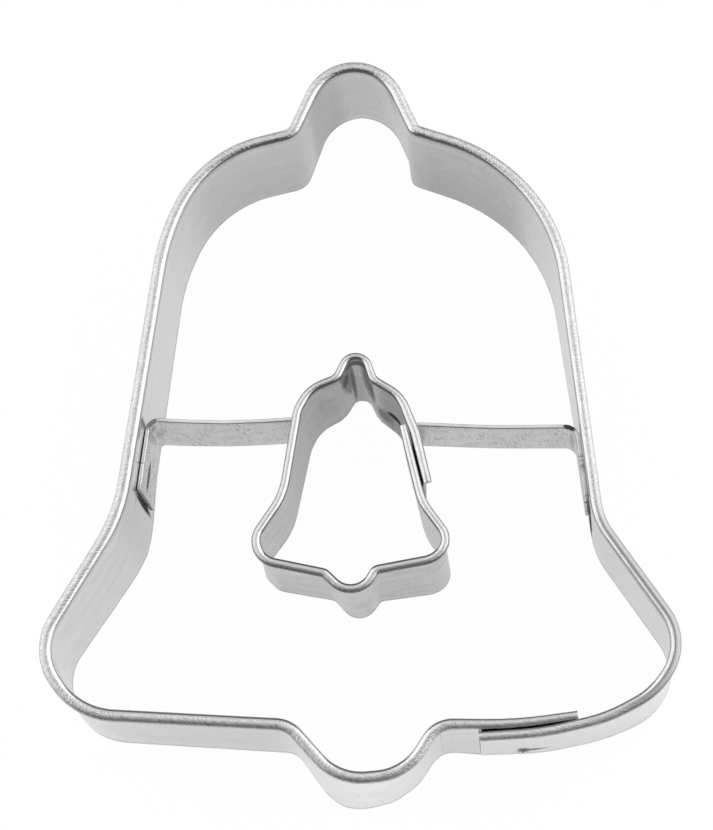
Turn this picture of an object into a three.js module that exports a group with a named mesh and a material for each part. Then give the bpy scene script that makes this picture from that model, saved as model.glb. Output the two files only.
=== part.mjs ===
// Bell-shaped cookie cutter with a smaller bell held inside it by two bent struts.
// Millimetres, +Z up: the cutting edges stand on z = 0 and the rolled rims are on top.

import * as THREE from 'three';

// Sizes shared by both bells
const BELL_HEIGHT = 20.0;
const BAND_THICKNESS = 0.35;
const CURL_SWEEP = THREE.MathUtils.degToRad(282);
const CURL_STEPS = 10;
const LAP_CLEARANCE = 0.12;
const TIGHTEST_INSIDE_RADIUS = 0.3;

// Fineness of the bends and of the straight runs between them
const ARC_TOLERANCE = 0.02;
const RUN_STEP = 4.0;

// Outer bell, measured over its rolled rim. Its band runs clockwise, seen from above, from the lap's
// inner end to its outer end. A bend lies where its two straight runs would meet on the inner face:
// its place is given in shares of the bell's width and length, from the middle. The radius and the
// foot offset are in millimetres. The foot offset is how far the cutting edge stands out from the rim.
const OUTER_WIDTH = 62.8;
const OUTER_LENGTH = 72.0;
const OUTER_CURL_BORE = 0.45;
const OUTER_LAP_LENGTH = 9.5;
const OUTER_LAP_LEAD = -1.2;
const OUTER_LAP_RADIUS = 18;
const OUTER_LAP_SPLAY = 0.1;
const OUTER_LAP_FOOT_OFFSET = -0.85;
const OUTER_LAP_INNER_END = { xShare: 0.336, yShare: -0.404, footOffset: -0.2 };
const OUTER_BENDS = {
  clapperRight: { xShare: 0.111, yShare: -0.42, radius: 2.4, footOffset: 0.1 },
  clapperFootRight: { xShare: 0.064, yShare: -0.476, radius: 3, footOffset: 0 },
  clapperFootLeft: { xShare: -0.029, yShare: -0.49, radius: 5, footOffset: 0.8 },
  clapperLeft: { xShare: -0.105, yShare: -0.415, radius: 3.4, footOffset: 0.3 },
  baseLeft: { xShare: -0.428, yShare: -0.398, radius: 8.6, footOffset: 0.3 },
  lipLeft: { xShare: -0.499, yShare: -0.32, radius: 5, footOffset: -0.5 },
  waistLeft: { xShare: -0.368, yShare: -0.136, radius: 17, footOffset: -1.2 },
  sideLeft: { xShare: -0.299, yShare: 0.253, radius: 22, footOffset: -0.2 },
  shoulderLeft: { xShare: -0.237, yShare: 0.363, radius: 11.5, footOffset: -0.2 },
  neckLeft: { xShare: -0.099, yShare: 0.392, radius: 2.3, footOffset: -0.2 },
  crown: { xShare: -0.008, yShare: 0.562, radius: 4.1, footOffset: 0.5 },
  neckRight: { xShare: 0.081, yShare: 0.396, radius: 1.5, footOffset: -0.3 },
  shoulderRight: { xShare: 0.18, yShare: 0.368, radius: 15.5, footOffset: -0.5 },
  sideRight: { xShare: 0.299, yShare: 0.287, radius: 15.5, footOffset: -0.4 },
  waistRight: { xShare: 0.361, yShare: -0.147, radius: 8, footOffset: 0.3 },
  lipRight: { xShare: 0.496, yShare: -0.309, radius: 5.2, footOffset: 0.2 },
  baseRight: { xShare: 0.455, yShare: -0.373, radius: 8, footOffset: -0.1 },
};

// Inner bell, in the same way, with its lap on the right side. Its place is from the outer bell's middle.
const INNER_WIDTH = 19.5;
const INNER_LENGTH = 23.9;
const INNER_PLACE = { x: -0.9, y: -5.4 };
const INNER_CURL_BORE = 0.15;
const INNER_LAP_LENGTH = 6.6;
const INNER_LAP_LEAD = 1;
const INNER_LAP_RADIUS = 2;
const INNER_LAP_SPLAY = 0.12;
const INNER_LAP_FOOT_OFFSET = 0.3;
const INNER_LAP_INNER_END = { xShare: 0.248, yShare: 0.187, footOffset: 0.3 };
const INNER_BENDS = {
  waistRight: { xShare: 0.341, yShare: -0.134, radius: 5.9, footOffset: 0.2 },
  lipRight: { xShare: 0.478, yShare: -0.286, radius: 1.5, footOffset: 0.1 },
  baseRight: { xShare: 0.411, yShare: -0.345, radius: 2.4, footOffset: 0.1 },
  clapperRight: { xShare: 0.114, yShare: -0.391, radius: 1.2, footOffset: -0.1 },
  clapper: { xShare: 0.027, yShare: -0.516, radius: 1.9, footOffset: -0.2 },
  clapperLeft: { xShare: -0.117, yShare: -0.399, radius: 1.2, footOffset: -0.5 },
  baseLeft: { xShare: -0.481, yShare: -0.336, radius: 1.8, footOffset: -0.2 },
  lipLeft: { xShare: -0.45, yShare: -0.253, radius: 0.8, footOffset: 0.5 },
  waistLeft: { xShare: -0.317, yShare: -0.102, radius: 8, footOffset: 0.3 },
  sideLeft: { xShare: -0.245, yShare: 0.254, radius: 2.3, footOffset: -0.1 },
  shoulderLeft: { xShare: -0.189, yShare: 0.333, radius: 3.2, footOffset: 0 },
  neckLeft: { xShare: -0.05, yShare: 0.379, radius: 2, footOffset: 0.3 },
  crown: { xShare: 0.037, yShare: 0.53, radius: 0.9, footOffset: 0 },
  neckRight: { xShare: 0.098, yShare: 0.375, radius: 1.9, footOffset: 0.2 },
  shoulderRight: { xShare: 0.237, yShare: 0.304, radius: 3, footOffset: 0 },
};

// Struts: each is one strip with a tab bent down along the wall at both ends, and a slight bow between them.
// The y values place its back face at the outer bell and at the inner bell, from the outer bell's middle.
// The bow is where the runs to its middle bend would meet, below the line between the tabs.
const STRUT_THICKNESS = 0.4;
const STRUT_HEIGHT = 10.8;
const STRUT_FOOT = 4.4;
const STRUT_BOW_RADIUS = 60;
const WELD_GAP = 0.2;
const OUTER_TAB = { length: 7.2, bendRadius: 1 };
const INNER_TAB = { length: 3, bendRadius: 0.7 };
const LEFT_STRUT = { yOuter: 0.9, yInner: 1, bow: 0.5 };
const RIGHT_STRUT = { yOuter: 0, yInner: 0.4, bow: 0.25 };

function leftOf(direction) {
  return new THREE.Vector2(-direction.y, direction.x);
}

// Stations along a bent strip: a place, the direction to its left, and the foot offset.
// The left is the outside of a bell and the hollow side of a strut.
function bentPath(bends, leastLeftRadius) {
  const corners = bends.map((bend) => new THREE.Vector2(bend.x, bend.y));
  const runs = corners.slice(1).map((corner, i) => corner.clone().sub(corners[i]));
  const arcs = limitedBends(bends, runs, leastLeftRadius).map((bend, i) => bendArc(bend, corners[i]));
  const stations = arcs.flatMap((arc, i) => {
    const run = i > 0 ? runStations(arcs[i - 1].at(-1), arc[0]) : [];
    return [...run, ...arc];
  });
  return withFootOffsets(stations);
}

// Each bend with its turn, its directions before and after, and a radius that its runs have room for
function limitedBends(bends, runs, leastLeftRadius) {
  const lengths = runs.map((run) => run.length());
  const ways = runs.map((run) => run.clone().normalize());
  const turned = bends.map((bend, i) => {
    const before = ways[i - 1] ?? ways[i];
    const after = ways[i] ?? before;
    const turn = Math.atan2(before.cross(after), before.dot(after));
    const radius = turn > 0 ? Math.max(bend.radius, leastLeftRadius) : bend.radius;
    const setback = turn === 0 ? 0 : radius * Math.tan(Math.abs(turn) / 2);
    return { footOffset: bend.footOffset, before, turn, radius, setback };
  });
  const room = lengths.map((length, i) => Math.min(1, length / (turned[i].setback + turned[i + 1].setback)));
  return turned.map((bend, i) => {
    const share = Math.min(room[i - 1] ?? 1, room[i] ?? 1);
    return { ...bend, radius: bend.radius * share, setback: bend.setback * share };
  });
}

// The round part of one bend, or the bare end of the strip. Only its middle knows the foot offset.
function bendArc({ footOffset, before, turn, radius, setback }, corner) {
  if (turn === 0) {
    return [{ place: corner, left: leftOf(before), footOffset }];
  }
  const toCentre = leftOf(before).multiplyScalar(radius * Math.sign(turn));
  const centre = corner.clone().addScaledVector(before, -setback).add(toCentre);
  const halfSteps = Math.ceil(Math.abs(turn) / (4 * Math.acos(1 - ARC_TOLERANCE / radius)));
  return Array.from({ length: 2 * halfSteps + 1 }, (_, i) => {
    const angle = (turn * i) / (2 * halfSteps);
    const spoke = toCentre.clone().negate().rotateAround(new THREE.Vector2(), angle);
    const left = leftOf(before).rotateAround(new THREE.Vector2(), angle);
    return { place: centre.clone().add(spoke), left, footOffset: i === halfSteps ? footOffset : undefined };
  });
}

// Extra stations inside a straight run, so that a changing foot offset stays smooth
function runStations(from, to) {
  const steps = Math.ceil(from.place.distanceTo(to.place) / RUN_STEP);
  return Array.from({ length: Math.max(steps - 1, 0) }, (_, i) => {
    const place = from.place.clone().lerp(to.place, (i + 1) / steps);
    return { place, left: from.left.clone(), footOffset: undefined };
  });
}

// Fills in the foot offset between the middles of the bends, in step with the length along the strip
function withFootOffsets(stations) {
  const lengths = [0];
  stations.slice(1).forEach((station, i) => {
    lengths.push(lengths[i] + station.place.distanceTo(stations[i].place));
  });
  const known = stations.flatMap((station, i) => (station.footOffset === undefined ? [] : [i]));
  return stations.map((station, i) => {
    const next = known.find((k) => k >= i);
    const last = known.findLast((k) => k <= i);
    const span = lengths[next] - lengths[last];
    const share = span > 0 ? (lengths[i] - lengths[last]) / span : 0;
    const footOffset = THREE.MathUtils.lerp(stations[last].footOffset, stations[next].footOffset, share);
    return { ...station, footOffset };
  });
}

// How much of the foot offset is felt at a height: none at the top of the flat wall, all at its foot
function footShare(z, foot, top) {
  return THREE.MathUtils.clamp((top - z) / (top - foot), 0, 1);
}

// Closed solid of a strip: one section ring at every station, joined by quads and capped at both ends.
// A section is a loop of points with x to the left of the strip and y up.
function stripGeometry(stations, section, foot, top) {
  const ringSize = section.length;
  const positions = stations.flatMap((station) => section.flatMap((point) => {
    const out = point.x + station.footOffset * footShare(point.y, foot, top);
    const place = station.place.clone().addScaledVector(station.left, out);
    return [place.x, place.y, point.y];
  }));
  const indices = [];
  for (let ring = 0; ring < stations.length - 1; ring += 1) {
    for (let k = 0; k < ringSize; k += 1) {
      const here = ring * ringSize + k;
      const next = ring * ringSize + ((k + 1) % ringSize);
      indices.push(here, next, next + ringSize, here, next + ringSize, here + ringSize);
    }
  }
  const lastRing = (stations.length - 1) * ringSize;
  THREE.ShapeUtils.triangulateShape(section, []).forEach(([a, b, c]) => {
    indices.push(a, c, b, lastRing + a, lastRing + b, lastRing + c);
  });
  const geometry = new THREE.BufferGeometry();
  geometry.setAttribute('position', new THREE.Float32BufferAttribute(positions, 3));
  geometry.setIndex(indices);
  geometry.computeVertexNormals();
  return geometry;
}

// Wall with its top edge rolled outward into a curl that stops just short of the wall
function curledSection(curlBore) {
  const curlRadius = curlBore / 2 + BAND_THICKNESS;
  const centre = new THREE.Vector2(curlRadius, BELL_HEIGHT - curlRadius);
  const arc = (radius) => Array.from({ length: CURL_STEPS + 1 }, (_, i) => {
    const angle = Math.PI - (CURL_SWEEP * i) / CURL_STEPS;
    return new THREE.Vector2(Math.cos(angle), Math.sin(angle)).multiplyScalar(radius).add(centre);
  });
  const innerFoot = new THREE.Vector2(0, 0);
  const outerFoot = new THREE.Vector2(BAND_THICKNESS, 0);
  const rolledInside = arc(curlBore / 2).reverse();
  return [innerFoot, ...arc(curlRadius), ...rolledInside, outerFoot].reverse();
}

function curlDiameter(curlBore) {
  return curlBore + 2 * BAND_THICKNESS;
}

// A bend of a bell with its place in millimetres
function placed(bend, bell) {
  const x = bell.place.x + bend.xShare * bell.width;
  const y = bell.place.y + bend.yShare * bell.length;
  return { x, y, radius: bend.radius, footOffset: bend.footOffset };
}

// Stations of a bell's band. The last run laps the first: it lies outside it, clear of its curl,
// and splays a little further out at its free end.
function bandPath(bell) {
  const bends = Object.values(bell.bends).map((bend) => placed(bend, bell));
  const innerEnd = placed(bell.innerEnd, bell);
  const start = new THREE.Vector2(innerEnd.x, innerEnd.y);
  const along = new THREE.Vector2(bends[0].x, bends[0].y).sub(start).normalize();
  const outward = leftOf(along);
  const standOff = curlDiameter(bell.curlBore) + LAP_CLEARANCE;
  const onLap = (distance, out) => {
    const { x, y } = start.clone().addScaledVector(along, distance).addScaledVector(outward, out);
    return { x, y, radius: bell.lapRadius, footOffset: bell.lapFootOffset };
  };
  const lapBend = onLap(bell.lapLead, standOff);
  const outerEnd = onLap(bell.lapLength, standOff + bell.lapSplay);
  const leastLeftRadius = curlDiameter(bell.curlBore) + TIGHTEST_INSIDE_RADIUS;
  return bentPath([innerEnd, ...bends, lapBend, outerEnd], leastLeftRadius);
}

const wallTop = (bell) => BELL_HEIGHT - curlDiameter(bell.curlBore) / 2;

// Where a bell's wall crosses a line of constant y, on its left or right side, at a given height.
// The depth is 0 on the inner face and the band's thickness on the outer face.
function wallCrossing(bell, y, side, z, depth) {
  const faces = bell.path.map((station) => {
    const out = depth + station.footOffset * footShare(z, 0, wallTop(bell));
    return station.place.clone().addScaledVector(station.left, out);
  });
  const crossings = faces.slice(1).flatMap((face, i) => {
    const share = (y - faces[i].y) / (face.y - faces[i].y);
    return share >= 0 && share <= 1 ? [faces[i].clone().lerp(face, share)] : [];
  });
  return crossings.reduce((best, place) => (side * place.x > side * best.x ? place : best));
}

// A strut's tab: its bend and its end, set off from the wall, with a foot that follows the wall.
// facing is +1 where the wall lies to the left of the tab and -1 where it lies to the right.
function strutTab(bell, side, y, tab, depth, facing) {
  const gap = new THREE.Vector2(facing * WELD_GAP, 0);
  const tabPoint = (height, z) => wallCrossing(bell, height, side, z, depth).add(gap);
  return [y, y - tab.length].map((height) => {
    const top = tabPoint(height, STRUT_FOOT + STRUT_HEIGHT);
    const foot = tabPoint(height, STRUT_FOOT);
    return { x: top.x, y: top.y, radius: tab.bendRadius, footOffset: facing * (foot.x - top.x) };
  });
}

// The bend in the middle of a strut, which bows it toward its hollow side
function strutBow(right, left, bow) {
  return {
    x: (right.x + left.x) / 2,
    y: (right.y + left.y) / 2 - bow,
    radius: STRUT_BOW_RADIUS,
    footOffset: (right.footOffset + left.footOffset) / 2,
  };
}

function strutGeometry([rightBend, rightEnd], [leftBend, leftEnd], bow) {
  const bends = [rightEnd, rightBend, strutBow(rightBend, leftBend, bow), leftBend, leftEnd];
  const leastLeftRadius = STRUT_THICKNESS + TIGHTEST_INSIDE_RADIUS;
  const strutTop = STRUT_FOOT + STRUT_HEIGHT;
  const section = [
    new THREE.Vector2(0, STRUT_FOOT),
    new THREE.Vector2(STRUT_THICKNESS, STRUT_FOOT),
    new THREE.Vector2(STRUT_THICKNESS, strutTop),
    new THREE.Vector2(0, strutTop),
  ];
  return stripGeometry(bentPath(bends, leastLeftRadius), section, STRUT_FOOT, strutTop);
}

function brightSteel(color, roughness) {
  return new THREE.MeshStandardMaterial({ color, roughness, metalness: 1 });
}

const outerBell = {
  width: OUTER_WIDTH,
  length: OUTER_LENGTH,
  place: { x: 0, y: 0 },
  bends: OUTER_BENDS,
  innerEnd: OUTER_LAP_INNER_END,
  curlBore: OUTER_CURL_BORE,
  lapLength: OUTER_LAP_LENGTH,
  lapLead: OUTER_LAP_LEAD,
  lapRadius: OUTER_LAP_RADIUS,
  lapSplay: OUTER_LAP_SPLAY,
  lapFootOffset: OUTER_LAP_FOOT_OFFSET,
};
const innerBell = {
  width: INNER_WIDTH,
  length: INNER_LENGTH,
  place: INNER_PLACE,
  bends: INNER_BENDS,
  innerEnd: INNER_LAP_INNER_END,
  curlBore: INNER_CURL_BORE,
  lapLength: INNER_LAP_LENGTH,
  lapLead: INNER_LAP_LEAD,
  lapRadius: INNER_LAP_RADIUS,
  lapSplay: INNER_LAP_SPLAY,
  lapFootOffset: INNER_LAP_FOOT_OFFSET,
};
[outerBell, innerBell].forEach((bell) => {
  bell.path = bandPath(bell);
});

function bandMesh(name, bell) {
  const geometry = stripGeometry(bell.path, curledSection(bell.curlBore), 0, wallTop(bell));
  const mesh = new THREE.Mesh(geometry, brightSteel(0xcfcfcf, 0.3));
  mesh.name = name;
  return mesh;
}

function strutMesh(name, geometry) {
  const mesh = new THREE.Mesh(geometry, brightSteel(0xbdbdbd, 0.35));
  mesh.name = name;
  return mesh;
}

const leftStrut = strutGeometry(
  strutTab(innerBell, -1, LEFT_STRUT.yInner, INNER_TAB, BAND_THICKNESS, -1),
  strutTab(outerBell, -1, LEFT_STRUT.yOuter, OUTER_TAB, 0, 1),
  LEFT_STRUT.bow,
);
const rightStrut = strutGeometry(
  strutTab(outerBell, 1, RIGHT_STRUT.yOuter, OUTER_TAB, 0, -1),
  strutTab(innerBell, 1, RIGHT_STRUT.yInner, INNER_TAB, BAND_THICKNESS, 1),
  RIGHT_STRUT.bow,
);

const cutter = new THREE.Group();
cutter.add(
  bandMesh('outer_bell_band', outerBell),
  bandMesh('inner_bell_band', innerBell),
  strutMesh('left_strut', leftStrut),
  strutMesh('right_strut', rightStrut),
);

// The origin is under the middle of the whole cutter, on the plane of the cutting edges
const middle = new THREE.Box3().setFromObject(cutter).getCenter(new THREE.Vector3());
cutter.position.set(-middle.x, -middle.y, 0);

export default cutter;
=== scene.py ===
import math

import bpy
from mathutils import Matrix, Vector


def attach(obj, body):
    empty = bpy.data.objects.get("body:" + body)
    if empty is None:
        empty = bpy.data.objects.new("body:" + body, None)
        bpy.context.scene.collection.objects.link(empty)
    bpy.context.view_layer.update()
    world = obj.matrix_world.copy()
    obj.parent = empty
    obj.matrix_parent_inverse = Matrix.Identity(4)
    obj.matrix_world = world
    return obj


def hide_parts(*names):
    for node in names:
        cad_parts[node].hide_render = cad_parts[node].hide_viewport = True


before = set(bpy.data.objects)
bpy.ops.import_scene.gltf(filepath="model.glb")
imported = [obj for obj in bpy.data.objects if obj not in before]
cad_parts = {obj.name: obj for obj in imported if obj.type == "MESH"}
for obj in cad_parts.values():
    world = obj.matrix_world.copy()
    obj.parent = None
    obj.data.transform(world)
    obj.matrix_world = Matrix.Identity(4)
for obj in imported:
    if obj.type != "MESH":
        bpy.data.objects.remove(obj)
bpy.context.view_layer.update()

# Outer bell band: one long strip of bright tinned steel, with its top edge rolled outward into a bead.
# It is bent by hand-set rollers into the bell, and its ends lap on the right of the base,
# where a spot weld near the cutting edge holds them.
MM = 0.001
BELL_HEIGHT = 20 * MM
BAND_THICKNESS = 0.35 * MM
CURL_SWEEP = math.radians(282)
TIGHTEST_INSIDE_RADIUS = 0.3 * MM
ARC_STEP = math.radians(4)
RUN_STEP = 1.5 * MM
SHORTEST_RUN = 0.001 * MM
WALL_STEPS = 12
CURL_STEPS = 20
EDGE_ROUNDING = 0.04 * MM
EDGE_SEGMENTS = 3
SHARP_ANGLE = math.radians(50)

OUTER_WIDTH = 62.8 * MM
OUTER_LENGTH = 72 * MM
OUTER_CURL_BORE = 0.45 * MM
OUTER_BEAD_HEIGHT = 0.8 * MM
# Share of the width, share of the length, bend radius and foot offset in millimetres, and the bead's fullness
OUTER_BENDS = {
    "inner_end": (0.3366, -0.4033, 0, -0.1, 0.68),
    "inner_bow": (0.2418, -0.4152, 40, -0.1, 0.82),
    "lap_mouth": (0.184, -0.415, 60, 0.5, 0.9),
    "clapper_right": (0.1152, -0.415, 3.5, 0.15, 1.02),
    "clapper_foot_right": (0.067, -0.4822, 5, 0.1, 1.08),
    "clapper_foot_left": (-0.029, -0.49, 5, 1, 1.08),
    "clapper_left": (-0.105, -0.415, 3.4, 0.3, 1.08),
    "base_left": (-0.431, -0.3985, 6.5, 0.1, 1.1),
    "lip_left": (-0.4935, -0.32, 5, -0.42, 1.08),
    "waist_left": (-0.366, -0.136, 17, -1.2, 1.1),
    "tab_left": (-0.3475, -0.03, 60, -0.56, 1.09),
    "side_left": (-0.298, 0.253, 22, -0.2, 1.1),
    "shoulder_left": (-0.237, 0.363, 11.5, -0.2, 0.96),
    "neck_left": (-0.099, 0.392, 2.3, -0.27, 0.94),
    "crown": (-0.008, 0.562, 4.1, 0.5, 0.98),
    "crown_right": (0.0655, 0.425, 1, 0.32, 1),
    "neck_right": (0.081, 0.396, 1.5, -0.4, 1),
    "shoulder_right": (0.18, 0.368, 15.5, -0.55, 0.97),
    "side_right": (0.3, 0.287, 15.5, -0.4, 1),
    "waist_right": (0.3633, -0.147, 8, 0.3, 0.96),
    "lip_right": (0.4945, -0.309, 5.2, 0.2, 0.96),
    "base_right": (0.455, -0.373, 8, 0.05, 0.98),
    "lap_lead": (0.3802, -0.4077, 14, -0.37, 0.95),
    "outer_bow": (0.2829, -0.4272, 25, -0.5, 0.9),
    "outer_tip": (0.1885, -0.4323, 60, -0.7, 0.84),
    "outer_end": (0.1848, -0.4325, 0, -0.72, 0.62),
}
# Half size of a mark that goes right across its strip, in millimetres
WHOLE_WIDTH = 300
# Each run, mark, stain or patch of painted shade or light: its place along and across the strip and its
# half sizes in millimetres, how ragged its edge is, and how strong it is
OUTER_LOOK = {
    "wall_tone": 0.58,
    "mottle": 0.24,
    "streaks": 0.06,
    "wear": 1.0,
    "smooth_runs": {"right_flare": ((194, 20), (16, WHOLE_WIDTH), 0.1, 0.9)},
    "shaded_runs": {"lap_slot": ((4.6, 22.3), (6.8, 1.2), 0.2, 1)},
    # Painted light: the walls of the clapper and the left flare made lighter
    "painted_light_runs": {
        "clapper": ((24.5, 10), (11, WHOLE_WIDTH), 0.3, 1),
        "left_flare": ((65.5, 10), (10, WHOLE_WIDTH), 0.3, 0.5),
    },
    "inside_marks": {
        # Painted shade above and at the corner of the left tab, and a painted shadow in the gap at its end
        "above_left_tab_shade": ((79.9, 14.3), (4.8, 1.1), 0.2, 0.7),
        "left_tab_end_shadow": ((76.6, 9), (0.4, 8), 0.2, 1),
        "left_tab_corner_shade": ((83, 16.6), (0.4, 1.1), 0.8, 0.4),
        # Painted shadow in the gap at the right tab's end
        "right_tab_end_shadow": ((181.2, 8), (1.3, 11), 0.3, 1),
        # Painted shade under the bead on the right flare
        "right_flare_under_bead_shade": ((194, 19), (11, 1.3), 0.3, 0.22),
        # Painted shade in the creases of the left and right shoulders
        "left_shoulder_crease_shade": ((115.75, 15.6), (0.06, 2.2), 0.4, 0.2),
        "right_shoulder_crease_shade": ((148.75, 13.7), (0.06, 5.5), 0.5, 0.15),
        "left_shoulder_smudge": ((114.2, 9.3), (1.5, 1.2), 1.6, 0.1),
        # Painted shade on the inside face in the lap's gap
        "lap_gap_shade": ((213.5, 10), (6, 9.4), 0.2, 0.9),
    },
    "outside_marks": {
        "weld_burn": ((215.8, 3.4), (0.8, 2.8), 2.2, 0.95),
        "weld_burn_middle": ((214.9, 3.7), (1.4, 1.2), 1.2, 0.85),
        "weld_burn_tail": ((214, 3.7), (1, 0.7), 0.6, 0.55),
        # Painted shadow beside the lap's outer end
        "lap_end_shadow": ((9.62, 8.5), (0.09, 14), 0.4, 0.6),
        # Painted shade in the clapper's crease
        "clapper_crease_shade": ((13.67, 9), (0.06, 12), 0.3, 0.2),
        "base": ((42, 9), (16, 10.3), 0.15, 0.12),
    },
    # Painted shade across the inside walls at the left of the crown and on both shoulders
    "stains_and_shade": {
        "crown_left": ((123.8, 10), (3.5, WHOLE_WIDTH), 0.3, 0.18),
        "right_shoulder": ((143.5, 10), (9, WHOLE_WIDTH), 0.3, 0.23),
        "left_shoulder": ((112.7, 10), (9, WHOLE_WIDTH), 0.3, 0.12),
    },
}

# A turn is a place round the curl, in radians: 0 on the wall, a quarter turn on the crest, half a turn
# at the outermost line. Noise grains and marks are so long that way that they take no notice of it
GRAIN_TURN = 40
MARK_TURN = 1000

# Tones go from 0, black, to 1, white. A gain or a depth is the share by which a tone goes up or down
STREAK_LEVELS = (0.45, 0.75)
PAINTED_LIGHT_GAIN = 0.25
# Painted shade on the wall just below the bead: how far down it reaches, and its depth
BELOW_BEAD_SHADE_REACH = 1.3 * MM
BELOW_BEAD_SHADE_DEPTH = 0.06
# Painted highlight lines on the wall below the bead: how far below its top, half width, and gain
PAINTED_HIGHLIGHT_LINES = ((1.15 * MM, 0.35 * MM, 0.16), (1.9 * MM, 0.3 * MM, 0.1))
BAND_SPECK_DEPTH = 0.4
BAND_SCRATCH_SLANT = 0.1
BAND_SCRATCH_HEIGHT = 0.02
BAND_BUMP = 0.012 * MM
BEAD_TURNS = (0.1, 0.5)
BEAD_TONE = 0.6
DULL_TONE = 0.37
SCUFF_TONE = 0.28
SMOOTH_RUN_DEPTH = 0.3
# Painted shade on the bead's underside: the turns over which it comes in, and its depth
UNDERSIDE_SHADE_TURNS = (3.2, 3.6)
UNDERSIDE_SHADE_DEPTH = 0.85
SHADED_RUN_DEPTH = 0.97
SOOT_AND_SHADE_DEPTH = 0.95
# Lines along the bead: turn and half width. A painted sheen on the dulled half, a painted dark reflection on
# the crest
PAINTED_SHEEN_LINE = (2.35, 0.6)
PAINTED_SHEEN_GAIN = 0.1
CREST_REFLECTION_LINE = (1.5, 0.1)
CREST_REFLECTION_DEPTH = 0.6
ROOT_LINE = (0.45, 0.44)
ROOT_LINE_ROUGHNESS = 0.3
WALL_ROUGHNESS = 0.1
CLOUD_ROUGHNESS = 0.08
DULL_ROUGHNESS = 0.36
SCUFF_ROUGHNESS = 0.1
BAND_SOOT_AND_SHADE_ROUGHNESS = 0.6
# Share of the way from the inside face to the outside face, where marks of the one give way to the other's
SIDE_CHANGE = (0.4, 0.6)


def left_of(direction):
    return Vector((-direction.y, direction.x))


def bend(x, y, radius, foot_offset, bead):
    """One bend of a strip, in metres: where its straight runs would meet, its radius, foot and fullness."""
    return {"corner": Vector((x, y)), "radius": radius, "section": Vector((foot_offset, bead))}


def limited_bends(bends, least_left_radius):
    """The bends with their turn and direction, and a radius that the runs beside them have room for."""
    corners = [b["corner"] for b in bends]
    runs = [after - before for before, after in zip(corners, corners[1:])]
    for i, b in enumerate(bends):
        b["before"] = runs[max(i - 1, 0)].normalized()
        after = runs[min(i, len(runs) - 1)].normalized()
        b["turn"] = math.atan2(b["before"].cross(after), b["before"].dot(after))
        if b["turn"] > 0:
            b["radius"] = max(b["radius"], least_left_radius)
        b["setback"] = b["radius"] * math.tan(abs(b["turn"]) / 2)
    setbacks = [b["setback"] for b in bends]
    room = [run.length / max(a + c, run.length) for run, a, c in zip(runs, setbacks, setbacks[1:])]
    for i, b in enumerate(bends):
        share = min(room[max(i - 1, 0)], room[min(i, len(room) - 1)])
        b["radius"] *= share
        b["setback"] *= share
    return bends


def bend_arc(b):
    """Points of one bend: a place, the direction to the left, and the section's values at its middle."""
    if b["turn"] == 0:
        return [[b["corner"], left_of(b["before"]), b["section"]]]
    to_centre = left_of(b["before"]) * math.copysign(b["radius"], b["turn"])
    centre = b["corner"] - b["before"] * b["setback"] + to_centre
    half_steps = math.ceil(abs(b["turn"]) / (2 * ARC_STEP))
    points = []
    for i in range(2 * half_steps + 1):
        turn = Matrix.Rotation(b["turn"] * i / (2 * half_steps), 2)
        known = b["section"] if i == half_steps else None
        points.append([centre - turn @ to_centre, turn @ left_of(b["before"]), known])
    return points


def bent_path(bends, least_left_radius):
    """Points along a bent strip, each with its place, the direction to its left, and its section's values."""
    path = []
    for b in limited_bends(bends, least_left_radius):
        arc = bend_arc(b)
        if path:
            start, end = path[-1][0], arc[0][0]
            steps = math.ceil((end - start).length / RUN_STEP)
            path += [[start.lerp(end, i / steps), arc[0][1], None] for i in range(1, steps)]
            if (end - path[-1][0]).length < SHORTEST_RUN:
                arc.pop(0)
        path += arc
    along = [0.0]
    for before, after in zip(path, path[1:]):
        along.append(along[-1] + (after[0] - before[0]).length)
    known = [i for i, point in enumerate(path) if point[2] is not None]
    for last, following in zip(known, known[1:]):
        span = along[following] - along[last]
        for i in range(last + 1, following):
            share = (along[i] - along[last]) / span
            path[i][2] = path[last][2].lerp(path[following][2], share)
    return path, along


def feed(tree, socket, value):
    """Links the socket to another one, or sets its value."""
    if isinstance(value, bpy.types.NodeSocket):
        tree.links.new(value, socket)
    else:
        socket.default_value = value


def add(tree, kind, inputs=None, **settings):
    """A new node with its settings, and with values or links on the named inputs."""
    node = tree.nodes.new(kind)
    for name, value in settings.items():
        setattr(node, name, value)
    for key, value in (inputs or {}).items():
        feed(tree, node.inputs[key], value)
    return node


def calc(tree, operation, *values, clamp=False):
    """The result of one sum."""
    node = add(tree, "ShaderNodeMath", operation=operation, use_clamp=clamp)
    for socket, value in zip(node.inputs, values):
        feed(tree, socket, value)
    return node.outputs[0]


def vector_calc(tree, operation, *values):
    """The result of one sum with vectors."""
    return add(tree, "ShaderNodeVectorMath", dict(enumerate(values)), operation=operation).outputs[0]


def named(tree, name, data_type="FLOAT"):
    return add(tree, "GeometryNodeInputNamedAttribute", {"Name": name}, data_type=data_type).outputs[0]


def store(tree, geometry, name, value, data_type="FLOAT"):
    inputs = {"Geometry": geometry, "Name": name, "Value": value}
    kind = "GeometryNodeStoreNamedAttribute"
    return add(tree, kind, inputs, data_type=data_type, domain="POINT").outputs[0]


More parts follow.
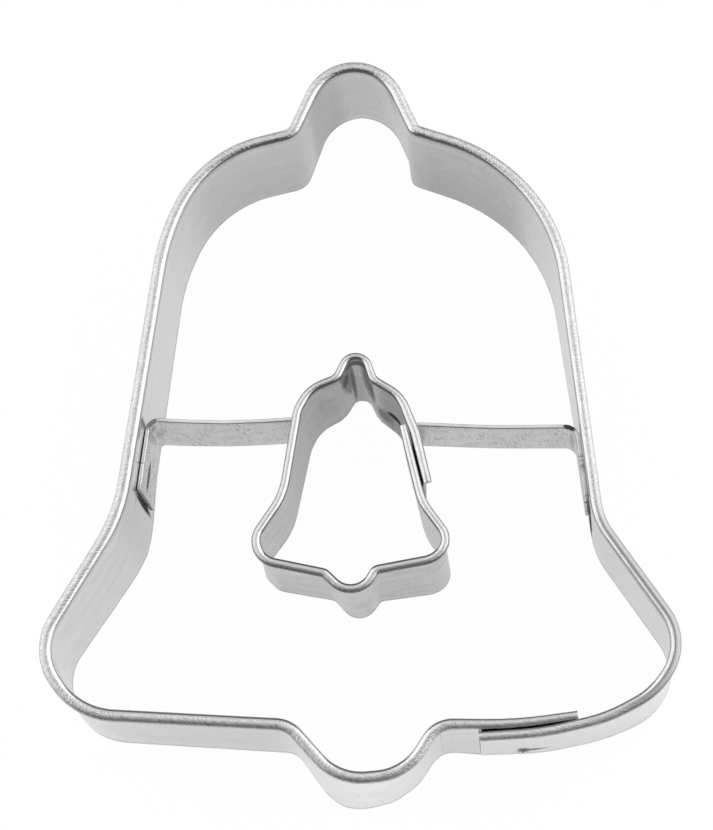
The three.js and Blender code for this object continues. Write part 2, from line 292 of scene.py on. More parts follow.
def bent_strip_tree():
    """Sweeps a wall, with a curl on top if it has steps, along a bent path. Leaves the sheet's inner face."""
    tree = bpy.data.node_groups.new("bent_strip", "GeometryNodeTree")
    sockets = {
        "Path": "Geometry", "Foot": "Float", "Wall Top": "Float", "Wall Steps": "Int", "Curl Radius": "Float",
        "Curl Rise": "Float", "Curl Sweep": "Float", "Curl Steps": "Int", "Material": "Material",
    }
    for name, kind in sockets.items():
        tree.interface.new_socket(name, in_out="INPUT", socket_type=f"NodeSocket{kind}")
    tree.interface.new_socket("Strip", in_out="OUTPUT", socket_type="NodeSocketGeometry")
    given = add(tree, "NodeGroupInput").outputs
    curl_radius = given["Curl Radius"]

    point_count = calc(tree, "ADD", calc(tree, "ADD", given["Wall Steps"], given["Curl Steps"]), 1)
    line = add(tree, "GeometryNodeCurvePrimitiveLine").outputs[0]
    section = add(tree, "GeometryNodeResampleCurve", {"Curve": line, "Count": point_count}).outputs[0]
    index = add(tree, "GeometryNodeInputIndex").outputs[0]
    wall_share = calc(tree, "DIVIDE", index, given["Wall Steps"], clamp=True)
    curl_index = calc(tree, "SUBTRACT", index, given["Wall Steps"])
    curl_steps = calc(tree, "MAXIMUM", given["Curl Steps"], 1)
    curl_share = calc(tree, "DIVIDE", curl_index, curl_steps, clamp=True)
    turn = calc(tree, "MULTIPLY", curl_share, given["Curl Sweep"])
    angle = calc(tree, "SUBTRACT", math.pi, turn)
    height = calc(tree, "SUBTRACT", given["Wall Top"], given["Foot"])
    up_wall = calc(tree, "MULTIPLY", wall_share, height)
    curl_out = calc(tree, "MULTIPLY_ADD", calc(tree, "COSINE", angle), curl_radius, curl_radius)
    curl_rise = calc(tree, "MULTIPLY", calc(tree, "SINE", angle), given["Curl Rise"])
    section = store(tree, section, "foot_share", calc(tree, "SUBTRACT", 1, wall_share))
    section = store(tree, section, "wall_rise", calc(tree, "ADD", up_wall, given["Foot"]))
    section = store(tree, section, "curl_out", curl_out)
    section = store(tree, section, "curl_rise", curl_rise)
    section = store(tree, section, "across", calc(tree, "MULTIPLY_ADD", turn, curl_radius, up_wall))
    section = store(tree, section, "turn", turn)

    position = add(tree, "GeometryNodeInputPosition").outputs[0]
    path = store(tree, given["Path"], "path_place", position, "FLOAT_VECTOR")
    curve = add(tree, "GeometryNodeMeshToCurve", {"Mesh": path}).outputs[0]
    sheet = add(tree, "GeometryNodeCurveToMesh", {"Curve": curve, "Profile Curve": section}).outputs[0]
    bead = named(tree, "bead")
    foot_share = named(tree, "foot_share")
    slack = calc(tree, "MULTIPLY", calc(tree, "SUBTRACT", 1, bead), calc(tree, "SUBTRACT", 1, foot_share))
    lean = calc(tree, "MULTIPLY", foot_share, named(tree, "foot_offset"))
    out = calc(tree, "MULTIPLY_ADD", named(tree, "curl_out"), bead, lean)
    out = calc(tree, "MULTIPLY_ADD", slack, curl_radius, out)
    rise = calc(tree, "MULTIPLY_ADD", named(tree, "curl_rise"), bead, named(tree, "wall_rise"))
    rise = calc(tree, "MULTIPLY_ADD", slack, given["Curl Rise"], rise)
    outward = {0: named(tree, "outward", "FLOAT_VECTOR"), "Scale": out}
    sideways = add(tree, "ShaderNodeVectorMath", outward, operation="SCALE").outputs[0]
    lifted = add(tree, "ShaderNodeCombineXYZ", {"Z": rise}).outputs[0]
    place = vector_calc(tree, "ADD", named(tree, "path_place", "FLOAT_VECTOR"), sideways)
    place = vector_calc(tree, "ADD", place, lifted)
    sheet = add(tree, "GeometryNodeSetPosition", {"Geometry": sheet, "Position": place}).outputs[0]
    on_strip = {"X": named(tree, "along"), "Y": named(tree, "across"), "Z": named(tree, "turn")}
    on_strip = add(tree, "ShaderNodeCombineXYZ", on_strip).outputs[0]
    sheet = store(tree, sheet, "on_strip", on_strip, "FLOAT_VECTOR")
    sheet = add(tree, "GeometryNodeRealizeInstances", {"Geometry": sheet}).outputs[0]
    clad = {"Geometry": sheet, "Material": given["Material"]}
    sheet = add(tree, "GeometryNodeSetMaterial", clad).outputs[0]
    feed(tree, add(tree, "NodeGroupOutput").inputs["Strip"], sheet)
    return tree


def path_lines(name, path, along):
    """The path as a row of edges that carries the values the sweep needs at each point."""
    lines = bpy.data.meshes.new(name)
    places = [(place.x, place.y, 0) for place, _, _ in path]
    lines.from_pydata(places, [(i, i + 1) for i in range(len(path) - 1)], [])
    outward = [value for _, left, _ in path for value in (left.x, left.y, 0)]
    lines.attributes.new("outward", "FLOAT_VECTOR", "POINT").data.foreach_set("vector", outward)
    foot_offsets = [section.x for _, _, section in path]
    lines.attributes.new("foot_offset", "FLOAT", "POINT").data.foreach_set("value", foot_offsets)
    lines.attributes.new("along", "FLOAT", "POINT").data.foreach_set("value", along)
    beads = [section.y for _, _, section in path]
    lines.attributes.new("bead", "FLOAT", "POINT").data.foreach_set("value", beads)
    return lines


def strip_piece(name, path, along, thickness, edge_rounding, sizes):
    """A strip of sheet metal as a plain closed mesh at the origin."""
    piece = bpy.data.objects.new(name, path_lines(name, path, along))
    bpy.context.scene.collection.objects.link(piece)
    sweep = piece.modifiers.new("sweep", "NODES")
    sweep.node_group = bent_strip
    for item in bent_strip.interface.items_tree:
        if item.name in sizes:
            sweep[item.identifier] = sizes[item.name]
    sheet = piece.modifiers.new("thickness", "SOLIDIFY")
    sheet.thickness = thickness
    sheet.offset = 1
    edges = piece.modifiers.new("edges", "BEVEL")
    edges.width = edge_rounding
    edges.segments = EDGE_SEGMENTS
    edges.angle_limit = SHARP_ANGLE
    bpy.context.view_layer.update()
    depsgraph = bpy.context.evaluated_depsgraph_get()
    shown = piece.evaluated_get(depsgraph)
    mesh = bpy.data.meshes.new_from_object(shown, preserve_all_data_layers=True, depsgraph=depsgraph)
    piece.modifiers.clear()
    piece.data = mesh
    outward = mesh.attributes["outward"].data
    outside = [0.5 + 0.5 * point.normal.dot(outward[point.index].vector) for point in mesh.vertices]
    mesh.attributes.new("outside", "FLOAT", "POINT").data.foreach_set("value", outside)
    mesh.shade_smooth()
    mesh.set_sharp_from_angle(angle=SHARP_ANGLE)
    return piece


def shader_group(name, inputs, outputs):
    """A new shader node group with named sockets, and the sockets inside it."""
    group = bpy.data.node_groups.new(name, "ShaderNodeTree")
    for side, sockets in (("INPUT", inputs), ("OUTPUT", outputs)):
        for socket, kind in sockets.items():
            group.interface.new_socket(socket, in_out=side, socket_type=f"NodeSocket{kind}")
    return group, add(group, "NodeGroupInput").outputs, add(group, "NodeGroupOutput").inputs


def noise(tree, place, grain, detail):
    """Noise from 0 to 1 over a place, with grains of the given sizes in metres."""
    scaled = vector_calc(tree, "DIVIDE", place, grain)
    inputs = {"Vector": scaled, "Scale": 1.0, "Detail": detail, "Roughness": 0.6}
    return add(tree, "ShaderNodeTexNoise", inputs, noise_dimensions="3D").outputs[0]


def slanted(tree, place, angle):
    """The place on a strip, turned so that grains lie at a slant."""
    inputs = {"Vector": place, "Angle": angle}
    return add(tree, "ShaderNodeVectorRotate", inputs, rotation_type="Z_AXIS").outputs[0]


def fade(tree, value, start, end):
    """0 up to the start, 1 from the end on, and smooth between them."""
    inputs = {"Value": value, "From Min": start, "From Max": end, "To Min": 0.0, "To Max": 1.0}
    return add(tree, "ShaderNodeMapRange", inputs, interpolation_type="SMOOTHSTEP").outputs[0]


def blend(tree, share, first, second):
    return add(tree, "ShaderNodeMix", {0: share, 2: first, 3: second}).outputs[0]


def rolled_rim_group():
    """Where the roller has dulled the bead, from its crest outward, and the fine scuffs across it."""
    hatch_slant = -0.6
    hatch_grain = (0.14 * MM, 0.7 * MM, GRAIN_TURN)
    scuff_grain = (0.12 * MM, 0.12 * MM, GRAIN_TURN)
    drift_grain = (2.5 * MM, 60 * MM, GRAIN_TURN)
    drift_reach = 1.1
    ragged_reach = 1.2
    dulled_turns = (0.6, 1.75)
    inputs = {"On Strip": "Vector", "Wear": "Float"}
    outputs = {"Dulled": "Float", "Scuffs": "Float", "Hatch": "Float"}
    group, given, result = shader_group("rolled_rim", inputs, outputs)
    turn = add(group, "ShaderNodeSeparateXYZ", {0: given["On Strip"]}).outputs["Z"]
    hatch = noise(group, slanted(group, given["On Strip"], hatch_slant), hatch_grain, 2.0)
    grains = noise(group, given["On Strip"], scuff_grain, 1.0)
    drift = noise(group, given["On Strip"], drift_grain, 3.0)
    edge = calc(group, "MULTIPLY_ADD", calc(group, "SUBTRACT", drift, 0.5), drift_reach, turn)
    ragged = calc(group, "MULTIPLY", calc(group, "SUBTRACT", hatch, 0.5), given["Wear"])
    edge = calc(group, "MULTIPLY_ADD", ragged, ragged_reach, edge)
    feed(group, result["Dulled"], fade(group, edge, *dulled_turns))
    scuffs = fade(group, calc(group, "ADD", hatch, grains), 0.7, 1.3)
    feed(group, result["Scuffs"], blend(group, given["Wear"], 0.5, scuffs))
    feed(group, result["Hatch"], calc(group, "MULTIPLY", fade(group, hatch, 0.35, 0.65), given["Wear"]))
    return group


def tin_skin_group():
    """Handling marks of thin bright sheet: clouds, upright streaks, pin specks, and slanting scratches."""
    cloud_grain = (4 * MM, 2.2 * MM, GRAIN_TURN)
    streak_grain = (0.35 * MM, 7 * MM, GRAIN_TURN)
    speck_cell = (1.4 * MM, 2.8 * MM, GRAIN_TURN)
    scratch_grain = (2 * MM, 0.1 * MM, GRAIN_TURN)
    patch_grain = (2.5 * MM, 2.5 * MM, GRAIN_TURN)
    outputs = {"Clouds": "Float", "Streaks": "Float", "Specks": "Float", "Scratches": "Float"}
    group, given, result = shader_group("tin_skin", {"On Strip": "Vector", "Slant": "Float"}, outputs)
    place = given["On Strip"]
    feed(group, result["Clouds"], noise(group, place, cloud_grain, 4.0))
    feed(group, result["Streaks"], noise(group, place, streak_grain, 3.0))
    cells = {"Vector": vector_calc(group, "DIVIDE", place, speck_cell), "Scale": 1.0}
    cells = add(group, "ShaderNodeTexVoronoi", cells, voronoi_dimensions="3D").outputs
    chance = add(group, "ShaderNodeSeparateXYZ", {0: cells["Color"]}).outputs["X"]
    dot = fade(group, cells["Distance"], 0.12, 0.06)
    feed(group, result["Specks"], calc(group, "MULTIPLY", dot, fade(group, chance, 0.6, 0.95)))
    lines = noise(group, slanted(group, place, given["Slant"]), scratch_grain, 1.0)
    patches = noise(group, place, patch_grain, 1.0)
    scratches = calc(group, "MULTIPLY", fade(group, lines, 0.54, 0.64), fade(group, patches, 0.38, 0.52))
    feed(group, result["Scratches"], scratches)
    return group


def bare_mark_group():
    """One ragged mark, such as a weld burn, a rub or a patch of painted shade, at a place on the strip."""
    edge_grain = (0.25 * MM, 0.4 * MM, GRAIN_TURN)
    inputs = {"On Strip": "Vector", "Place": "Vector", "Size": "Vector", "Ragged": "Float"}
    group, given, result = shader_group("bare_mark", inputs, {"Mark": "Float"})
    offset = vector_calc(group, "SUBTRACT", given["On Strip"], given["Place"])
    offset = vector_calc(group, "DIVIDE", offset, given["Size"])
    distance = add(group, "ShaderNodeVectorMath", {0: offset}, operation="LENGTH").outputs["Value"]
    ragged = calc(group, "SUBTRACT", noise(group, given["On Strip"], edge_grain, 3.0), 0.5)
    distance = calc(group, "MULTIPLY_ADD", ragged, given["Ragged"], distance)
    feed(group, result["Mark"], fade(group, distance, 1.0, 0.45))
    return group


def marks_on(tree, on_strip, marks):
    """The marks of one piece together, the strongest of them where they meet."""
    together = 0.0
    for (along, across), (half_length, half_width), ragged, strength in marks.values():
        inputs = {
            "On Strip": on_strip,
            "Place": (along * MM, across * MM, 0),
            "Size": (half_length * MM, half_width * MM, MARK_TURN),
            "Ragged": ragged,
        }
        mark = add(tree, "ShaderNodeGroup", inputs, node_tree=bare_mark).outputs[0]
        together = calc(tree, "MAXIMUM", calc(tree, "MULTIPLY", mark, strength), together)
    return together


def dimmed(tree, tone, mask, depth):
    """The tone, taken down by a share where the mask is 1. A share under 0 brightens it."""
    return calc(tree, "MULTIPLY", tone, calc(tree, "MULTIPLY_ADD", mask, -depth, 1))


def line_round(tree, across, place, half_width):
    """A fine line that runs along the whole strip."""
    distance = calc(tree, "ABSOLUTE", calc(tree, "SUBTRACT", across, place))
    return fade(tree, distance, half_width, half_width / 4)


def new_steel(name):
    """A new material, its node tree, and the place on the strip that all its marks go by."""
    material = bpy.data.materials.new(name)
    material.use_nodes = True
    tree = material.node_tree
    on_strip = add(tree, "ShaderNodeAttribute", attribute_name="on_strip").outputs["Vector"]
    return material, tree, on_strip


def finish_steel(tree, tone, rough, soot_and_shade, soot_and_shade_roughness, height, bump):
    """Sets the steel's grey, roughness and bump. Soot and painted shade make it black, rough and no longer
    like metal.
    """
    shader = tree.nodes["Principled BSDF"]
    tone = dimmed(tree, tone, soot_and_shade, SOOT_AND_SHADE_DEPTH)
    grey = add(tree, "ShaderNodeCombineColor", {0: tone, 1: tone, 2: tone}).outputs[0]
    feed(tree, shader.inputs["Base Color"], grey)
    feed(tree, shader.inputs["Roughness"], calc(tree, "MULTIPLY_ADD", soot_and_shade, soot_and_shade_roughness, rough))
    feed(tree, shader.inputs["Metallic"], calc(tree, "MULTIPLY_ADD", soot_and_shade, -SOOT_AND_SHADE_DEPTH, 1))
    relief = {"Height": height, "Strength": 1.0, "Distance": bump}
    feed(tree, shader.inputs["Normal"], add(tree, "ShaderNodeBump", relief).outputs[0])


def wall_tone(tree, skin, across, wall_top, bright, look):
    """The walls' tone: clouds, streaks, runs of painted light, painted shade and painted highlight lines
    below the bead, and pin specks.
    """
    mottle = look["mottle"]
    tone = calc(tree, "MULTIPLY_ADD", skin["Clouds"], mottle, look["wall_tone"] - mottle / 2)
    tone = dimmed(tree, tone, fade(tree, skin["Streaks"], *STREAK_LEVELS), look["streaks"])
    # Painted light: walls lighter along the runs of painted light
    tone = dimmed(tree, tone, bright, -PAINTED_LIGHT_GAIN)
    # Painted shade on the wall just below the bead
    below_bead_shade = fade(tree, across, wall_top - BELOW_BEAD_SHADE_REACH, wall_top)
    tone = dimmed(tree, tone, below_bead_shade, BELOW_BEAD_SHADE_DEPTH)
    # Painted highlight lines below the bead
    for below, half_width, gain in PAINTED_HIGHLIGHT_LINES:
        tone = dimmed(tree, tone, line_round(tree, across, wall_top - below, half_width), -gain)
    return dimmed(tree, tone, skin["Specks"], BAND_SPECK_DEPTH)


def band_steel(name, wall_top, look):
    """Bright tinned strip: clouded walls with painted highlight lines, and a bead that is dull on its outer
    half.
    """
    material, tree, on_strip = new_steel(name)
    _, across, turn = add(tree, "ShaderNodeSeparateXYZ", {0: on_strip}).outputs
    smooth = marks_on(tree, on_strip, look["smooth_runs"])
    wear = calc(tree, "MULTIPLY_ADD", smooth, -look["wear"], look["wear"])
    rim = add(tree, "ShaderNodeGroup", {"On Strip": on_strip, "Wear": wear}, node_tree=rolled_rim).outputs
    skin = {"On Strip": on_strip, "Slant": BAND_SCRATCH_SLANT}
    skin = add(tree, "ShaderNodeGroup", skin, node_tree=tin_skin).outputs
    bead = fade(tree, turn, *BEAD_TURNS)

    # Stains and painted shade, on the walls of the inside face only
    stain_and_shade = calc(tree, "MULTIPLY", marks_on(tree, on_strip, look["stains_and_shade"]), calc(tree, "SUBTRACT", 1, bead))
    inside_soot_and_shade = calc(tree, "MAXIMUM", marks_on(tree, on_strip, look["inside_marks"]), stain_and_shade)
    outside_soot_and_shade = marks_on(tree, on_strip, look["outside_marks"])
    outside = add(tree, "ShaderNodeAttribute", attribute_name="outside").outputs["Fac"]
    # Soot, stains and painted shade: the inside face's marks give way to the outside face's
    soot_and_shade = blend(tree, fade(tree, outside, *SIDE_CHANGE), inside_soot_and_shade, outside_soot_and_shade)

    bright = marks_on(tree, on_strip, look["painted_light_runs"])
    tone = blend(tree, bead, wall_tone(tree, skin, across, wall_top, bright, look), BEAD_TONE)
    dull_tone = calc(tree, "MULTIPLY_ADD", rim["Scuffs"], SCUFF_TONE, DULL_TONE)
    # Painted sheen along the dulled half of the bead
    dull_tone = dimmed(tree, dull_tone, line_round(tree, turn, *PAINTED_SHEEN_LINE), -PAINTED_SHEEN_GAIN)
    dull_tone = dimmed(tree, dull_tone, smooth, SMOOTH_RUN_DEPTH)
    tone = blend(tree, rim["Dulled"], tone, dull_tone)
    # Painted dark reflection along the crest, where the bead stays smooth
    crest = calc(tree, "MULTIPLY", smooth, line_round(tree, turn, *CREST_REFLECTION_LINE))
    tone = dimmed(tree, tone, crest, CREST_REFLECTION_DEPTH)
    # Painted shade on the bead's underside
    tone = dimmed(tree, tone, fade(tree, turn, *UNDERSIDE_SHADE_TURNS), UNDERSIDE_SHADE_DEPTH)
    tone = dimmed(tree, tone, marks_on(tree, on_strip, look["shaded_runs"]), SHADED_RUN_DEPTH)

    rough = calc(tree, "MULTIPLY_ADD", skin["Clouds"], CLOUD_ROUGHNESS, WALL_ROUGHNESS)
    rough = calc(tree, "MULTIPLY_ADD", line_round(tree, turn, *ROOT_LINE), ROOT_LINE_ROUGHNESS, rough)
    dull_rough = calc(tree, "MULTIPLY_ADD", rim["Scuffs"], SCUFF_ROUGHNESS, DULL_ROUGHNESS)
    rough = blend(tree, rim["Dulled"], rough, dull_rough)
    height = calc(tree, "MULTIPLY", rim["Hatch"], rim["Dulled"])
    height = calc(tree, "MULTIPLY_ADD", skin["Scratches"], -BAND_SCRATCH_HEIGHT, height)
    finish_steel(tree, tone, rough, soot_and_shade, BAND_SOOT_AND_SHADE_ROUGHNESS, height, BAND_BUMP)
    return material


def bell_path(bends, curl_bore, width, length, middle):
    """The path of a bell's band, from its inner end, once round, to its outer end, which laps the first."""
    placed = []
    for x, y, radius, offset, bead in bends.values():
        placed.append(bend(middle.x + x * width, middle.y + y * length, radius * MM, offset * MM, bead))
    return bent_path(placed, curl_bore + 2 * BAND_THICKNESS + TIGHTEST_INSIDE_RADIUS)


def band_sizes(curl_bore, bead_height, material):
    return {
        "Foot": 0.0,
        "Wall Top": BELL_HEIGHT - bead_height / 2,
        "Wall Steps": WALL_STEPS,
        "Curl Radius": curl_bore / 2 + BAND_THICKNESS,
        "Curl Rise": bead_height / 2,
        "Curl Sweep": CURL_SWEEP,
        "Curl Steps": CURL_STEPS,
        "Material": material,
    }


bent_strip = bent_strip_tree()
rolled_rim = rolled_rim_group()
tin_skin = tin_skin_group()
bare_mark = bare_mark_group()
outer_steel = band_steel("outer_band_steel", BELL_HEIGHT - OUTER_BEAD_HEIGHT / 2, OUTER_LOOK)
path, along = bell_path(OUTER_BENDS, OUTER_CURL_BORE, OUTER_WIDTH, OUTER_LENGTH, Vector((0, 0)))
outer_sizes = band_sizes(OUTER_CURL_BORE, OUTER_BEAD_HEIGHT, outer_steel)
outer_bell = strip_piece("outer_bell", path, along, BAND_THICKNESS, EDGE_ROUNDING, outer_sizes)
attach(outer_bell, "root")
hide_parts("outer_bell_band")

# Inner bell band: the same tinned steel strip with a tighter bead, bent into a small bell
# that cuts the middle out. Its ends lap on the right side, where the outer layer ends below the strut.
INNER_WIDTH = 19.5 * MM
INNER_LENGTH = 23.9 * MM
INNER_MIDDLE = Vector((-0.9, -5.48)) * MM
INNER_CURL_BORE = 0.15 * MM
INNER_BEAD_HEIGHT = 0.74 * MM
INNER_BENDS = {
    "inner_end": (0.2455, 0.187, 0, 0.3, 0.85),
    "waist_right": (0.341, -0.134, 5.9, 0.32, 1),
    "lip_right": (0.478, -0.286, 1.5, 0.2, 1),
    "base_right": (0.411, -0.347, 2.4, 0.2, 1.1),
    "clapper_right": (0.114, -0.392, 1.2, -0.1, 1.1),
    "clapper": (0.027, -0.516, 1.9, -0.2, 1.1),
    "clapper_left": (-0.117, -0.403, 1.2, -0.5, 1.1),
    "base_left": (-0.475, -0.341, 1.8, -0.3, 1.1),
    "lip_left": (-0.441, -0.253, 0.8, 0.5, 1),
    "waist_left": (-0.315, -0.102, 8, 0.3, 1),
    "side_left": (-0.243, 0.254, 2.3, -0.1, 1),
    "shoulder_left": (-0.189, 0.333, 3.2, 0, 0.95),
    "neck_left": (-0.05, 0.379, 2, 0.3, 0.95),
    "crown": (0.037, 0.53, 0.9, 0, 0.85),
    "neck_right": (0.098, 0.375, 1.9, 0.33, 0.95),
    "shoulder_right": (0.237, 0.304, 3, 0, 1),
    "lap_lead": (0.3082, 0.1556, 2, -0.45, 1.15),
    "outer_end": (0.369, -0.0505, 0, -0.55, 1),
}
INNER_LOOK = {
    # Walls darker than the outer bell's, on both faces: painted shade of the small bell's deep, narrow inside
    "wall_tone": 0.4,
    "mottle": 0.55,
    "streaks": 0.15,
    "wear": 0.4,
    "smooth_runs": {},
    "shaded_runs": {"lap_slot": ((2.6, 21.7), (3.6, 1.05), 0.2, 1)},
    "painted_light_runs": {},
    "inside_marks": {
        "left_crown_streak": ((54, 9.5), (0.3, 12), 1.0, 0.5),
        "right_crown_streak": ((56.5, 10), (0.35, 10), 1.0, 0.4),
        "crown_top": ((54.7, 18.4), (1.9, 1.5), 1.2, 0.8),
        # Painted shade at the left neck
        "left_neck_shade": ((52.9, 15), (0.9, 3.6), 0.6, 0.42),
        "right_neck_streak": ((57.1, 13), (0.55, 7), 0.9, 0.45),
        "right_shoulder_smudge": ((58.5, 5.4), (1.7, 4.6), 2.0, 0.5),
        "right_shoulder_burn": ((59.95, 8.6), (1.6, 1.9), 0.4, 1),
        "right_shoulder_streak": ((59.4, 15), (0.4, 4), 0.9, 0.3),
        "left_shoulder_smudge": ((49.6, 13), (0.7, 5), 1.5, 0.15),
        # Painted shade on the inside face in the lap's gap
        "lap_gap_shade": ((67, 12), (3.6, 8), 0.2, 0.9),
    },
    "outside_marks": {},
    # Painted shade over the upper half of the inside, and a darker patch on the right shoulder
    "stains_and_shade": {
        "upper_half": ((50, 9), (16, WHOLE_WIDTH), 1.0, 0.12),
        "right_shoulder": ((60.5, 9), (3.5, WHOLE_WIDTH), 1.2, 0.3),
    },
}
inner_steel = band_steel("inner_band_steel", BELL_HEIGHT - INNER_BEAD_HEIGHT / 2, INNER_LOOK)
path, along = bell_path(INNER_BENDS, INNER_CURL_BORE, INNER_WIDTH, INNER_LENGTH, INNER_MIDDLE)
inner_sizes = band_sizes(INNER_CURL_BORE, INNER_BEAD_HEIGHT, inner_steel)
inner_bell = strip_piece("inner_bell", path, along, BAND_THICKNESS, EDGE_ROUNDING, inner_sizes)
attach(inner_bell, "root")
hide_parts("inner_bell_band")

# Struts: two plain strips of duller steel sheet, sheared to width, with a tab bent down at both ends.
# The tabs are spot welded to the walls of the two bells.
STRUT_THICKNESS = 0.4 * MM
STRUT_FOOT = 4.4 * MM
STRUT_TOP = 15.2 * MM
STRUT_EDGE_ROUNDING = 0.09 * MM
# Each bend: its place, radius and foot offset in millimetres. Marks and welds are written as the bands' are
STRUTS = {
    "left": {
        "bends": {
            "inner_tab_end": (-6.52, -2, 0.7, 0.05),
            "inner_bend": (-5.89, 1, 0.7, 0.1),
            "bow": (-13.55, 0.54, 60, 0.12),
            "outer_bend": (-21.16, 1.03, 1.3, 0.26),
            "outer_tab_end": (-22.15, -6.3, 1, 0.48),
        },
        "marks": {
            "bend_top": ((17.6, 10.8), (1.1, 0.5), 1.3, 0.75),
            "bend_streak": ((17.7, 9), (0.2, 1.5), 0.8, 0.6),
            "bend_streak_before": ((17.35, 8.6), (0.12, 1.8), 0.6, 0.5),
            "bend_streak_after": ((18, 8.8), (0.14, 1.4), 0.6, 0.5),
            "bend_smudge": ((17.2, 5.5), (0.8, 3), 1.6, 0.2),
            "tab_rub": ((22.6, 6.5), (2, 1.1), 0.3, 0.8),
            # Painted shade on the tab's cut end
            "tab_end_shade": ((24.8, 5.4), (0.2, 12), 0.2, 0.5),
            "tab_nick": ((21.97, 10.8), (0.07, 0.6), 0.2, 0.5),
        },
        "welds": {"tab": ((20.5, 9), (0.7, 1.4), 0.8, 0.6)},
    },
    "right": {
        "bends": {
            "outer_tab_end": (22.43, -7.2, 1, -0.16),
            "outer_bend": (21.53, 0, 1.5, -0.08),
            "bow": (13.04, -0.03, 60, -0.16),
            "inner_bend": (4.76, 0.38, 0.7, -0.13),
            "inner_tab_end": (5.84, -2.6, 0.7, 0.17),
        },
        "marks": {
            "bend_top": ((7.55, 10.8), (0.95, 0.5), 0.8, 1),
            "bend_smudge": ((7.1, 5.5), (0.5, 6), 1.6, 0.22),
            # Painted shade over the tab's top edge, and a painted shadow line at its cut end
            "tab_top_shade": ((3.2, 10.8), (4.5, 0.6), 0.5, 0.15),
            "tab_end_shade": ((0, 7.4), (0.12, 0.6), 0.2, 0.8),
            "inner_smudge": ((22.4, 5), (0.5, 6), 0.8, 0.12),
        },
        "welds": {"tab": ((3.4, 10.2), (1.3, 1.8), 0.8, 1)},
    },
}
STRUT_TONE = 0.55
STRUT_CLOUD_TONE = 0.2
STRUT_SPECK_DEPTH = 0.6
STRUT_SCRATCH_SLANT = -1.44
STRUT_SCRATCH_DEPTH = 0.6
TOP_EDGE_REACH = 0.2 * MM
TOP_EDGE_TONE = 0.57
TOP_EDGE_CLOUD_TONE = 0.3
WELD_PIT_GRAIN = (0.2 * MM, 0.5 * MM, GRAIN_TURN)
WELD_PIT_LEVELS = (0.65, 0.35)
WELD_PIT_DEPTH = 0.5
WELD_PIT_HEIGHT = 12
STRUT_ROUGHNESS = 0.2
STRUT_CLOUD_ROUGHNESS = 0.16
STRUT_SOOT_AND_SHADE_ROUGHNESS = 0.5
STRUT_BUMP = 0.004 * MM


def plain_steel(name, marks, welds):
    """Duller rolled sheet with slanting scratches, pin specks and pitted weld spots."""
    material, tree, on_strip = new_steel(name)
    skin = {"On Strip": on_strip, "Slant": STRUT_SCRATCH_SLANT}
    skin = add(tree, "ShaderNodeGroup", skin, node_tree=tin_skin).outputs
    across = add(tree, "ShaderNodeSeparateXYZ", {0: on_strip}).outputs["Y"]
    soot_and_shade = marks_on(tree, on_strip, marks)
    weld = marks_on(tree, on_strip, welds)
    pits = noise(tree, on_strip, WELD_PIT_GRAIN, 1.0)
    strut_height = STRUT_TOP - STRUT_FOOT
    top_edge = fade(tree, across, strut_height - TOP_EDGE_REACH, strut_height)
    scratches = calc(tree, "MULTIPLY", skin["Scratches"], calc(tree, "SUBTRACT", 1, top_edge))

    tone = calc(tree, "MULTIPLY_ADD", skin["Clouds"], STRUT_CLOUD_TONE, STRUT_TONE)
    tone = dimmed(tree, tone, scratches, STRUT_SCRATCH_DEPTH)
    edge_tone = calc(tree, "MULTIPLY_ADD", skin["Clouds"], TOP_EDGE_CLOUD_TONE, TOP_EDGE_TONE)
    tone = blend(tree, top_edge, tone, edge_tone)
    tone = dimmed(tree, tone, skin["Specks"], STRUT_SPECK_DEPTH)
    dark_pits = calc(tree, "MULTIPLY", weld, fade(tree, pits, *WELD_PIT_LEVELS))
    tone = dimmed(tree, tone, dark_pits, WELD_PIT_DEPTH)

    rough = calc(tree, "MULTIPLY_ADD", skin["Clouds"], STRUT_CLOUD_ROUGHNESS, STRUT_ROUGHNESS)
    height = calc(tree, "MULTIPLY", calc(tree, "MULTIPLY", pits, weld), WELD_PIT_HEIGHT)
    height = calc(tree, "SUBTRACT", height, scratches)
    finish_steel(tree, tone, rough, soot_and_shade, STRUT_SOOT_AND_SHADE_ROUGHNESS, height, STRUT_BUMP)
    return material


for side, strut in STRUTS.items():
    strut_sizes = {
        "Foot": STRUT_FOOT,
        "Wall Top": STRUT_TOP,
        "Wall Steps": WALL_STEPS,
        "Curl Radius": 0.0,
        "Curl Rise": 0.0,
        "Curl Sweep": 0.0,
        "Curl Steps": 0,
        "Material": plain_steel(f"{side}_strut_steel", strut["marks"], strut["welds"]),
    }
    placed = []
    for x, y, radius, offset in strut["bends"].values():
        placed.append(bend(x * MM, y * MM, radius * MM, offset * MM, 1))
    path, along = bent_path(placed, STRUT_THICKNESS + TIGHTEST_INSIDE_RADIUS)
    piece = strip_piece(f"{side}_bent_strut", path, along, STRUT_THICKNESS, STRUT_EDGE_ROUNDING, strut_sizes)
    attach(piece, "root")
    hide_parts(f"{side}_strut")

# Studio: a plain white floor, a soft box on each side, a soft panel behind, a weak fill in front,
# and a camera that looks steeply down from in front of the clapper.
FLOOR_SIZE = 6.0
FLOOR_GAP = 0.05 * MM
FLOOR_TONE = 0.9
# Share of plain white that the camera and the steel's reflections see in place of the lit floor
FLOOR_SEEN_WHITE = 0.98
FLOOR_MIRRORED_WHITE = 0.6
ROOM_LIGHT = 0.11
WHITE = (1, 1, 1, 1)
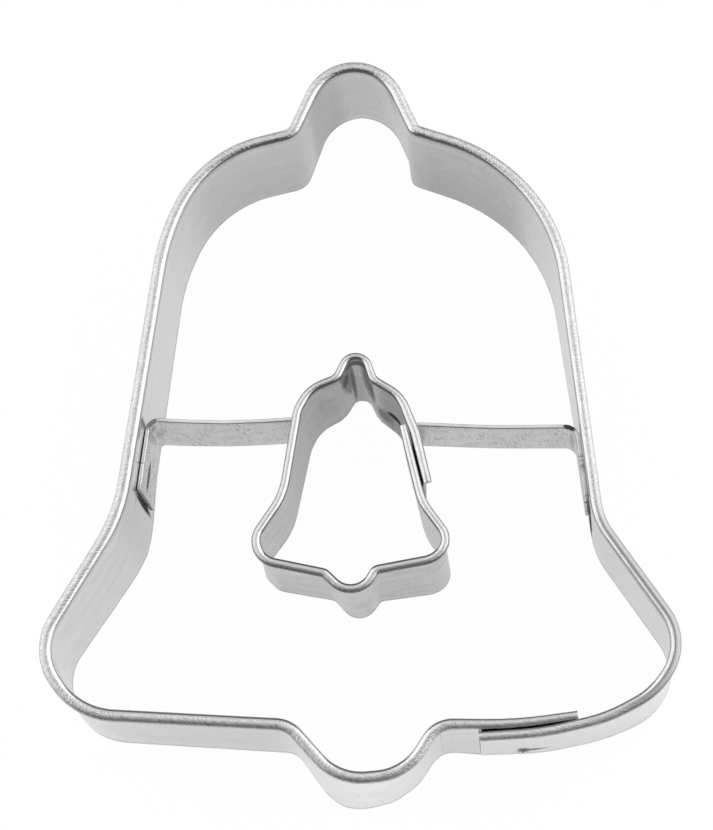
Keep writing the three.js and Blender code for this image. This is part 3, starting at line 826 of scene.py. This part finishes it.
# Each soft light: its place in metres, width, depth, watts, and whether the steel reflects it
SOFT_LIGHTS = {
    "left_box": (Vector((-0.58, 0.12, 0.4)), 1.04, 1.0, 4.9, True),
    "right_box": (Vector((0.58, 0.12, 0.4)), 1.04, 1.0, 5.7, True),
    "back_panel": (Vector((0.0, 0.45, 0.75)), 1.1, 1.2, 3.2, True),
    "front_fill": (Vector((0.0, -0.85, 0.31)), 1.0, 0.3, 7.5, False),
}
CAMERA_PLACE = Vector((19.1, -105.57, 538.5)) * MM
CAMERA_LOOK = Vector((-0.0365, 0.1996, -0.9792))
CAMERA_CLIP_START = 0.01
# The picture is taller than it is wide, so the sensor's size goes with the height
FOCAL_PIXELS = 5400
IMAGE_HEIGHT = 830
SENSOR = 36.0

floor_mesh = bpy.data.meshes.new("floor")
half = FLOOR_SIZE / 2
corners = [(x * half, y * half, -FLOOR_GAP) for x, y in ((-1, -1), (1, -1), (1, 1), (-1, 1))]
floor_mesh.from_pydata(corners, [], [(0, 1, 2, 3)])
floor = bpy.data.objects.new("floor", floor_mesh)
bpy.context.scene.collection.objects.link(floor)
floor_white = bpy.data.materials.new("floor_white")
floor_white.use_nodes = True
tree = floor_white.node_tree
tree.nodes.clear()
paper = add(tree, "ShaderNodeBsdfDiffuse", {"Color": (FLOOR_TONE, FLOOR_TONE, FLOOR_TONE, 1)}).outputs[0]
glow = add(tree, "ShaderNodeEmission", {"Color": WHITE, "Strength": 1.0}).outputs[0]
rays = add(tree, "ShaderNodeLightPath").outputs
seen = calc(tree, "MULTIPLY", rays["Is Camera Ray"], FLOOR_SEEN_WHITE)
seen = calc(tree, "MULTIPLY_ADD", rays["Is Glossy Ray"], FLOOR_MIRRORED_WHITE, seen)
mixed = add(tree, "ShaderNodeMixShader", {0: seen, 1: paper, 2: glow}).outputs[0]
add(tree, "ShaderNodeOutputMaterial", {"Surface": mixed})
floor_mesh.materials.append(floor_white)

world = bpy.data.worlds.new("studio")
bpy.context.scene.world = world
world.use_nodes = True
tree = world.node_tree
tree.nodes.clear()
rays = add(tree, "ShaderNodeLightPath").outputs
brightness = calc(tree, "MAXIMUM", rays["Is Camera Ray"], ROOM_LIGHT)
background = add(tree, "ShaderNodeBackground", {"Color": WHITE, "Strength": brightness}).outputs[0]
add(tree, "ShaderNodeOutputWorld", {"Surface": background})

for name, (place, width, depth, watts, reflected) in SOFT_LIGHTS.items():
    lamp = bpy.data.lights.new(name, "AREA")
    lamp.shape = "RECTANGLE"
    lamp.size = width
    lamp.size_y = depth
    lamp.energy = watts
    light = bpy.data.objects.new(name, lamp)
    light.location = place
    light.rotation_euler = (-place).to_track_quat("-Z", "Y").to_euler()
    light.visible_camera = False
    light.visible_glossy = reflected
    bpy.context.scene.collection.objects.link(light)

view = bpy.data.cameras.new("view")
view.lens = FOCAL_PIXELS / IMAGE_HEIGHT * SENSOR
view.sensor_width = SENSOR
view.clip_start = CAMERA_CLIP_START
camera = bpy.data.objects.new("view", view)
back = -CAMERA_LOOK.normalized()
right = Vector((0, 1, 0)).cross(back).normalized()
facing = Matrix((right, back.cross(right), back)).transposed().to_4x4()
camera.matrix_world = Matrix.Translation(CAMERA_PLACE) @ facing
bpy.context.scene.collection.objects.link(camera)
bpy.context.scene.camera = camera
bpy.context.scene.view_settings.view_transform = "Standard"
